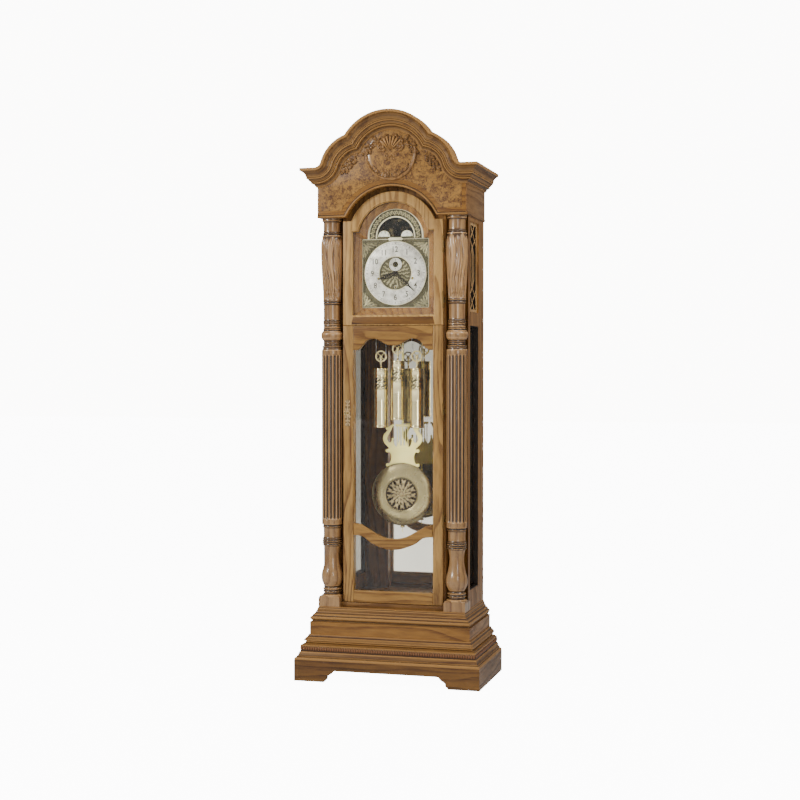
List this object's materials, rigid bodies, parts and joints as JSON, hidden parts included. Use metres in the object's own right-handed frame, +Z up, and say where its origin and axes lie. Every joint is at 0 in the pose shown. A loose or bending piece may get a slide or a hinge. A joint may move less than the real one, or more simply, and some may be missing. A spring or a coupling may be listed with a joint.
{
  "type": "floor clock",
  "caption": "Tall oak floor clock with an arched bonnet, turned columns, glazed doors, moon dial, lyre pendulum and cable-hung brass weights.",
  "frame": {"origin": "on the floor, under the middle of the plinth's outer box", "axes": "+X to the viewer's right, +Y from the dial towards the back, +Z up"},
  "size_m": [0.797, 0.45, 2.38],
  "materials": {
    "oak": "satin golden oak with strong grain",
    "oak_dark": "stained, inside the case",
    "brass": "polished and lacquered",
    "dial_brass": "antiqued, chased",
    "silver": "silvered, satin",
    "steel": "bright",
    "black": "black, satin",
    "moon_blue": "printed night sky",
    "glass": "clear",
    "mirror": "silvered glass"
  },
  "bodies": {
    "case": {"bracket_base": "oak", "base_box": "oak", "base_moulding": "oak", "waist_moulding": "oak", "side_frame_left": "oak", "side_frame_right": "oak", "corner_post_left": "oak", "corner_post_right": "oak", "side_glass_left": "glass", "side_glass_right": "glass", "fret_grille_left": "oak", "fret_grille_right": "oak", "back_panel": "oak_dark", "waist_mirror": "mirror", "column_left": "oak", "column_right": "oak", "pediment_board": "oak", "bonnet_moulding": "oak", "cornice_left": "oak", "cornice_right": "oak", "roof_board": "oak_dark", "cartouche_ring": "oak", "shell_carving": "oak", "dial_mask": "oak", "dial_plate": "dial_brass", "chapter_ring": "silver", "seat_board": "oak_dark", "movement_plates": "brass", "chime_rods": "steel", "hood_hinge_lower": "brass", "hood_hinge_upper": "brass", "waist_hinge_lower": "brass", "waist_hinge_upper": "brass", "cable_left": "steel", "cable_centre": "steel", "cable_right": "steel"},
    "hood_door": {"hood_door_frame": "oak", "hood_door_glass": "glass"},
    "waist_door": {"waist_door_frame": "oak", "waist_door_glass": "glass", "escutcheon_plate": "brass"},
    "key": {"door_key": "brass"},
    "pendulum": {"pendulum_lyre": "brass", "pendulum_bob": "brass"},
    "nut": {"rating_nut": "brass"},
    "anchor": {"pallet_anchor": "steel"},
    "seconds": {"second_hand": "black", "escape_wheel": "brass"},
    "minutes": {"minute_hand": "black"},
    "hours": {"hour_hand": "black"},
    "moon": {"moon_disc": "moon_blue"},
    "weight_left": {"weight_left": "brass"},
    "pulley_left": {"pulley_left": "brass"},
    "drum_left": {"cable_drum_left": "brass"},
    "weight_centre": {"weight_centre": "brass"},
    "pulley_centre": {"pulley_centre": "brass"},
    "drum_centre": {"cable_drum_centre": "brass"},
    "weight_right": {"weight_right": "brass"},
    "pulley_right": {"pulley_right": "brass"},
    "drum_right": {"cable_drum_right": "brass"}
  },
  "joints": [
    {"name": "hood_door_hinge", "type": "hinge", "parent": "case", "child": "hood_door", "pos_m": [0.2185, -0.113, 1.4925], "axis": [0, 0, 1], "range_deg": [0, 105]},
    {"name": "waist_door_hinge", "type": "hinge", "parent": "case", "child": "waist_door", "pos_m": [0.2185, -0.113, 0.3233], "axis": [0, 0, 1], "range_deg": [0, 105]},
    {"name": "key_turn", "type": "hinge", "parent": "waist_door", "child": "key", "pos_m": [-0.197, -0.1338, 1.12283], "axis": [0, 1, 0], "range_deg": [0, 90]},
    {"name": "pendulum_swing", "type": "hinge", "parent": "case", "child": "pendulum", "pos_m": [0, 0.0475, 1.775], "axis": [0, 1, 0], "range_deg": [-4, 4]},
    {"name": "nut_turn", "type": "hinge", "parent": "pendulum", "child": "nut", "pos_m": [0, 0.0475, 0.6367], "axis": [0, 0, 1], "continuous": true},
    {"name": "anchor_rock", "type": "hinge", "parent": "case", "child": "anchor", "pos_m": [0, 0.029, 1.775], "axis": [0, 1, 0], "range_deg": [-4, 4]},
    {"name": "seconds_turn", "type": "hinge", "parent": "case", "child": "seconds", "pos_m": [0, -0.067, 1.749], "axis": [0, 1, 0], "continuous": true},
    {"name": "minutes_turn", "type": "hinge", "parent": "case", "child": "minutes", "pos_m": [0, -0.0775, 1.712], "axis": [0, 1, 0], "continuous": true},
    {"name": "hours_turn", "type": "hinge", "parent": "case", "child": "hours", "pos_m": [0, -0.0725, 1.712], "axis": [0, 1, 0], "continuous": true},
    {"name": "moon_turn", "type": "hinge", "parent": "case", "child": "moon", "pos_m": [0, -0.062, 1.858], "axis": [0, 1, 0], "continuous": true},
    {"name": "weight_run_left", "type": "slide", "parent": "case", "child": "weight_left", "axis": [0, 0, -1], "range_m": [-0.1, 0.7], "deforming": ["cable_left"]},
    {"name": "pulley_turn_left", "type": "hinge", "parent": "weight_left", "child": "pulley_left", "pos_m": [-0.079, -0.012, 1.363], "axis": [0, 1, 0], "range_deg": [-284, 1868]},
    {"name": "drum_turn_left", "type": "hinge", "parent": "case", "child": "drum_left", "pos_m": [-0.074, -0.012, 1.69], "axis": [0, 1, 0], "range_deg": [-718, 4911]},
    {"name": "weight_run_centre", "type": "slide", "parent": "case", "child": "weight_centre", "axis": [0, 0, -1], "range_m": [-0.07, 0.73], "deforming": ["cable_centre"]},
    {"name": "pulley_turn_centre", "type": "hinge", "parent": "weight_centre", "child": "pulley_centre", "pos_m": [-0.005, -0.012, 1.3955], "axis": [0, 1, 0], "range_deg": [-204, 1947]},
    {"name": "drum_turn_centre", "type": "hinge", "parent": "case", "child": "drum_centre", "pos_m": [0, -0.012, 1.655], "axis": [0, 1, 0], "range_deg": [-509, 5120]},
    {"name": "weight_run_right", "type": "slide", "parent": "case", "child": "weight_right", "axis": [0, 0, -1], "range_m": [-0.1, 0.7], "deforming": ["cable_right"]},
    {"name": "pulley_turn_right", "type": "hinge", "parent": "weight_right", "child": "pulley_right", "pos_m": [0.079, -0.012, 1.363], "axis": [0, 1, 0], "range_deg": [-1868, 284]},
    {"name": "drum_turn_right", "type": "hinge", "parent": "case", "child": "drum_right", "pos_m": [0.074, -0.012, 1.69], "axis": [0, 1, 0], "range_deg": [-4911, 718]}
  ],
  "couplings": [
    {"joint": "anchor_rock", "follows": "pendulum_swing", "ratio": 1},
    {"joint": "hours_turn", "follows": "minutes_turn", "ratio": 0.083333},
    {"joint": "moon_turn", "follows": "minutes_turn", "ratio": 0.00070547},
    {"joint": "pulley_turn_left", "follows": "weight_run_left", "rad_per_m": 46.083},
    {"joint": "drum_turn_left", "follows": "weight_run_left", "rad_per_m": 121.95},
    {"joint": "pulley_turn_centre", "follows": "weight_run_centre", "rad_per_m": 46.083},
    {"joint": "drum_turn_centre", "follows": "weight_run_centre", "rad_per_m": 121.95},
    {"joint": "pulley_turn_right", "follows": "weight_run_right", "rad_per_m": -46.083},
    {"joint": "drum_turn_right", "follows": "weight_run_right", "rad_per_m": -121.95}
  ]
}
